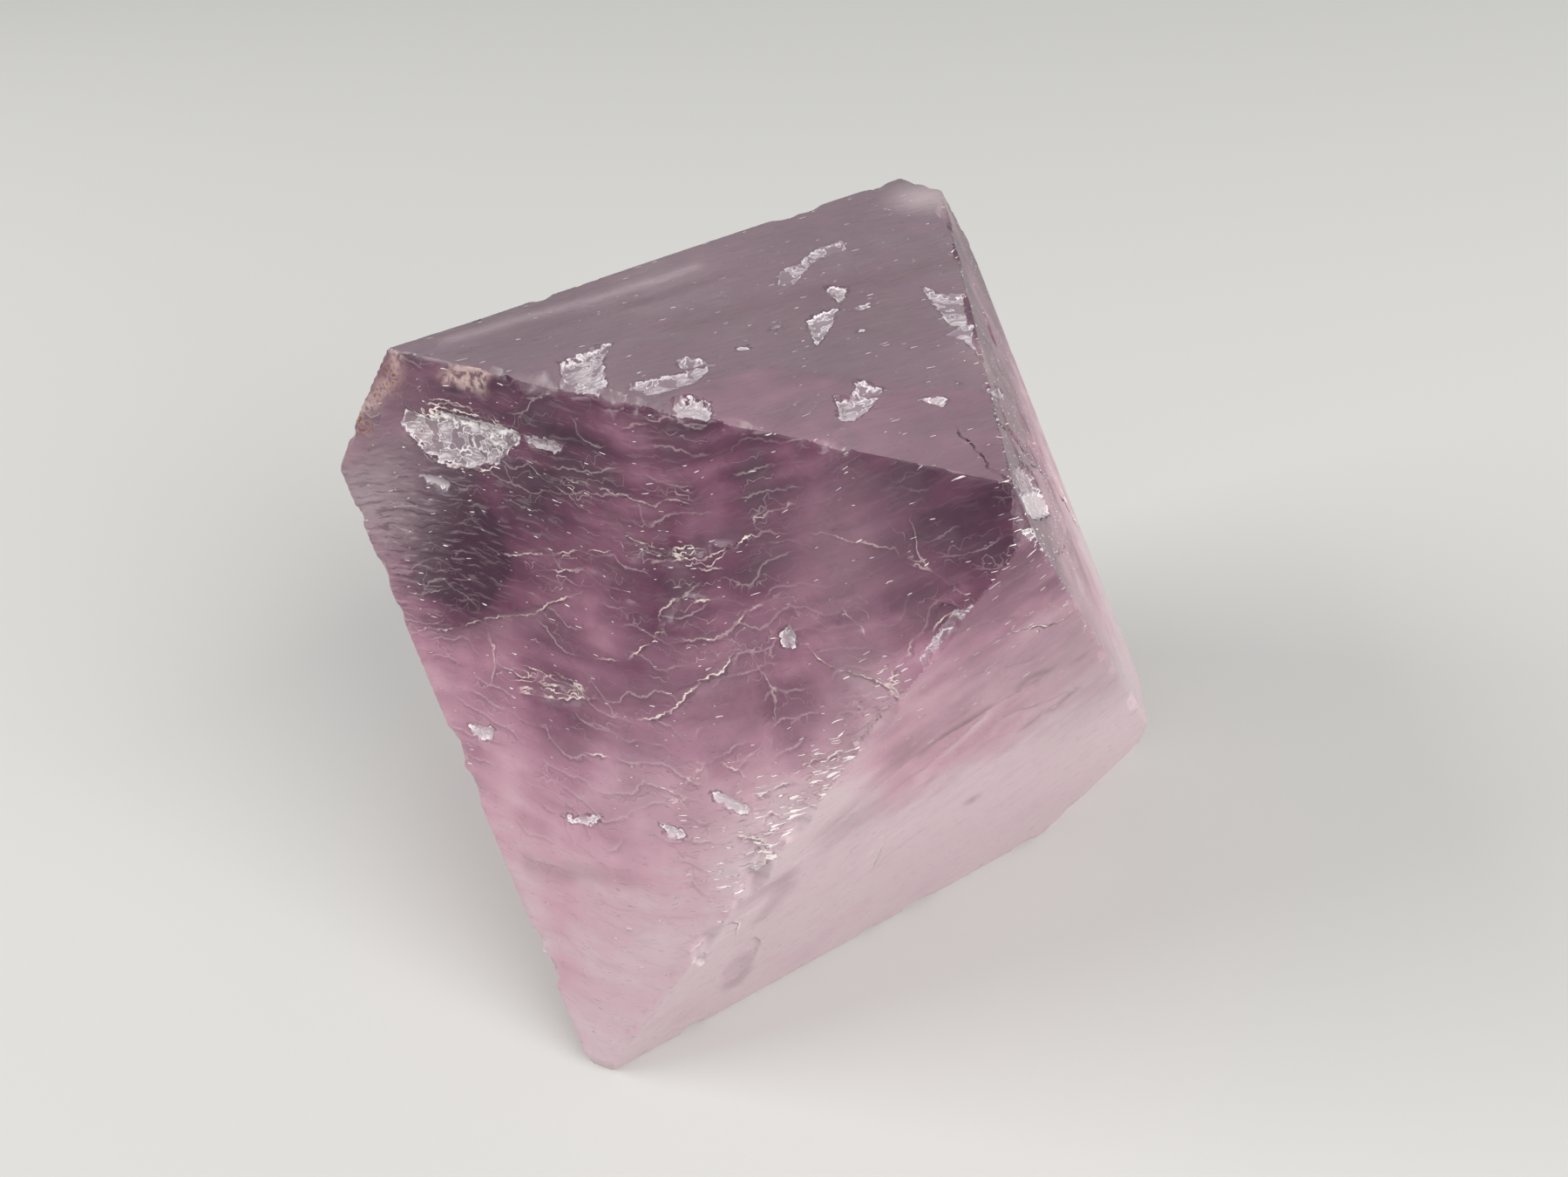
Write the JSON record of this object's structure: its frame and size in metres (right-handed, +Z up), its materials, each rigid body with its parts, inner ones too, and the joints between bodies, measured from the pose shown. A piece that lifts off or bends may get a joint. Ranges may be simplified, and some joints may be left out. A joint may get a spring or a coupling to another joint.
{
  "type": "amethyst double pyramid",
  "caption": "Rough amethyst double pyramid (octahedron) with broken corners and flake scars, lying on one triangular face; a mineral specimen to display.",
  "frame": {"origin": "centre of the crystal's box in plan, at the height of the face it rests on", "axes": "+Z up from the rest face to the top face, which is parallel to it within a degree; +Y from the front foot to the back top corner"},
  "size_m": [0.0436, 0.0502, 0.0384],
  "materials": {
    "amethyst": "clear to cloudy purple quartz, natural broken and etched faces"
  },
  "bodies": {
    "root": {"amethyst_crystal": "amethyst"}
  },
  "joints": []
}
